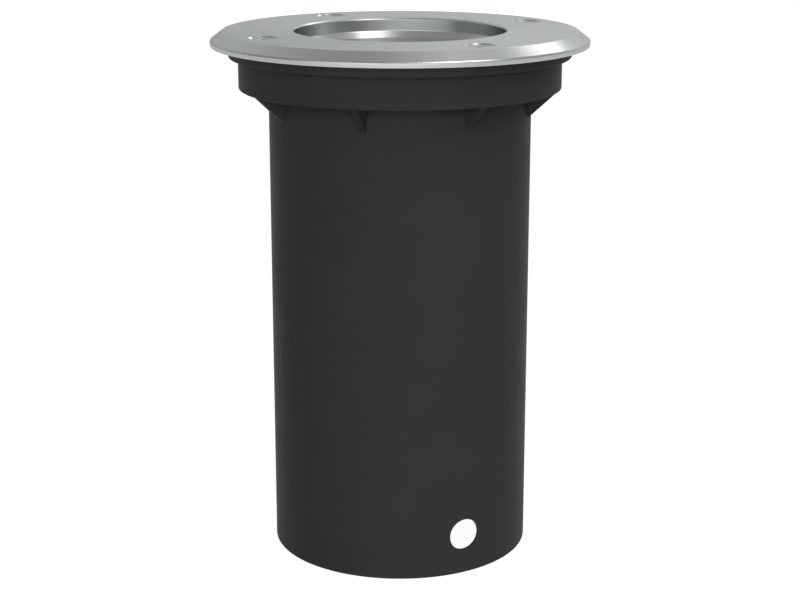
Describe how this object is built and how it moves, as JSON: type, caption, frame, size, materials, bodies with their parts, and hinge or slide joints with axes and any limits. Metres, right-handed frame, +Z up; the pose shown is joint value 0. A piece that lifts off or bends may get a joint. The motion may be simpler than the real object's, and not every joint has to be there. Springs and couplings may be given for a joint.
{
  "type": "outdoor ground light",
  "caption": "Round in-ground outdoor light: black plastic ground sleeve with collar, sealed lamp pot, glass window and a brushed steel trim ring with countersunk screws.",
  "frame": {"origin": "on the axis of the sleeve, at the plane of its open foot", "axes": "+Z up along the sleeve's axis to the trim ring, -Y towards the cable hole, cover screws on the X and Y axes"},
  "size_m": [0.11, 0.11, 0.1553],
  "materials": {
    "black_plastic": "moulded black plastic, fine satin",
    "brass": "turned and stamped brass",
    "stainless_ring": "turned and brushed round the axis",
    "stainless_screw": "bright machined",
    "window_glass": "toughened, satin",
    "silicone": "dark grey silicone rubber",
    "cast_aluminium": "die-cast, fine blasted",
    "gland_nylon": "moulded black nylon",
    "ceramic": "white glazed ceramic",
    "zinc_steel": "zinc plated",
    "terminal_nylon": "moulded natural nylon",
    "brown_lead": "brown silicone insulation",
    "blue_lead": "blue silicone insulation",
    "earth_lead": "green and yellow silicone insulation",
    "lamp_shell": "satin lacquered",
    "lamp_lens": "clear moulded optic",
    "circuit_board": "white solder mask",
    "lamp_plastic": "white moulded plastic",
    "pin_metal": "nickel plated"
  },
  "bodies": {
    "sleeve": {"ground_sleeve": "black_plastic", "thread_inserts": "brass"},
    "lamp_unit": {"lamp_housing": "cast_aluminium", "gland_body": "gland_nylon", "gland_washer": "silicone", "gland_locknut": "gland_nylon", "gland_seal": "silicone", "lamp_holder": "ceramic", "holder_contacts": "brass", "holder_bracket": "zinc_steel", "holder_screws": "zinc_steel", "bracket_screws": "zinc_steel", "block_screws": "zinc_steel", "earth_screw": "zinc_steel", "terminal_block": "terminal_nylon", "terminal_clamps": "brass", "terminal_screws": "zinc_steel", "lamp_lead_live": "brown_lead", "lamp_lead_neutral": "blue_lead", "earth_lead": "earth_lead", "earth_tag": "zinc_steel"},
    "cover": {"trim_ring": "stainless_ring"},
    "window": {"glass_lens": "window_glass", "glass_gasket": "silicone"},
    "lamp": {"lamp_body": "lamp_shell", "lamp_lens": "lamp_lens", "lamp_led_board": "circuit_board", "lamp_driver_board": "circuit_board", "lamp_base": "lamp_plastic", "lamp_pins": "pin_metal"},
    "gland_cap": {"gland_cap": "gland_nylon"},
    "cover_screw_1": {"cover_screw_1": "stainless_screw"},
    "cover_screw_2": {"cover_screw_2": "stainless_screw"},
    "cover_screw_3": {"cover_screw_3": "stainless_screw"},
    "cover_screw_4": {"cover_screw_4": "stainless_screw"}
  },
  "joints": [
    {"name": "unit_lift", "type": "slide", "parent": "sleeve", "child": "lamp_unit", "axis": [0, 0, 1], "range_m": [0, 0.13]},
    {"name": "cover_lift", "type": "slide", "parent": "lamp_unit", "child": "cover", "axis": [0, 0, 1], "range_m": [0, 0.06]},
    {"name": "window_lift", "type": "slide", "parent": "lamp_unit", "child": "window", "axis": [0, 0, 1], "range_m": [0, 0.03]},
    {"name": "lamp_twist", "type": "hinge", "parent": "lamp_unit", "child": "lamp", "pos_m": [0, 0, 0.094], "axis": [0, 0, 1], "range_deg": [0, 30]},
    {"name": "gland_cap_turn", "type": "hinge", "parent": "lamp_unit", "child": "gland_cap", "pos_m": [0, 0.017, 0.031], "axis": [0, 0, -1], "continuous": true},
    {"name": "screw_1_turn", "type": "hinge", "parent": "cover", "child": "cover_screw_1", "pos_m": [0.0436, 0, 0.1546], "axis": [0, 0, 1], "continuous": true},
    {"name": "screw_2_turn", "type": "hinge", "parent": "cover", "child": "cover_screw_2", "pos_m": [0, 0.0436, 0.1546], "axis": [0, 0, 1], "continuous": true},
    {"name": "screw_3_turn", "type": "hinge", "parent": "cover", "child": "cover_screw_3", "pos_m": [-0.0436, 0, 0.1546], "axis": [0, 0, 1], "continuous": true},
    {"name": "screw_4_turn", "type": "hinge", "parent": "cover", "child": "cover_screw_4", "pos_m": [0, -0.0436, 0.1546], "axis": [0, 0, 1], "continuous": true}
  ],
  "couplings": [
    {"joint": "window_lift", "follows": "cover_lift", "ratio": 0.5}
  ]
}
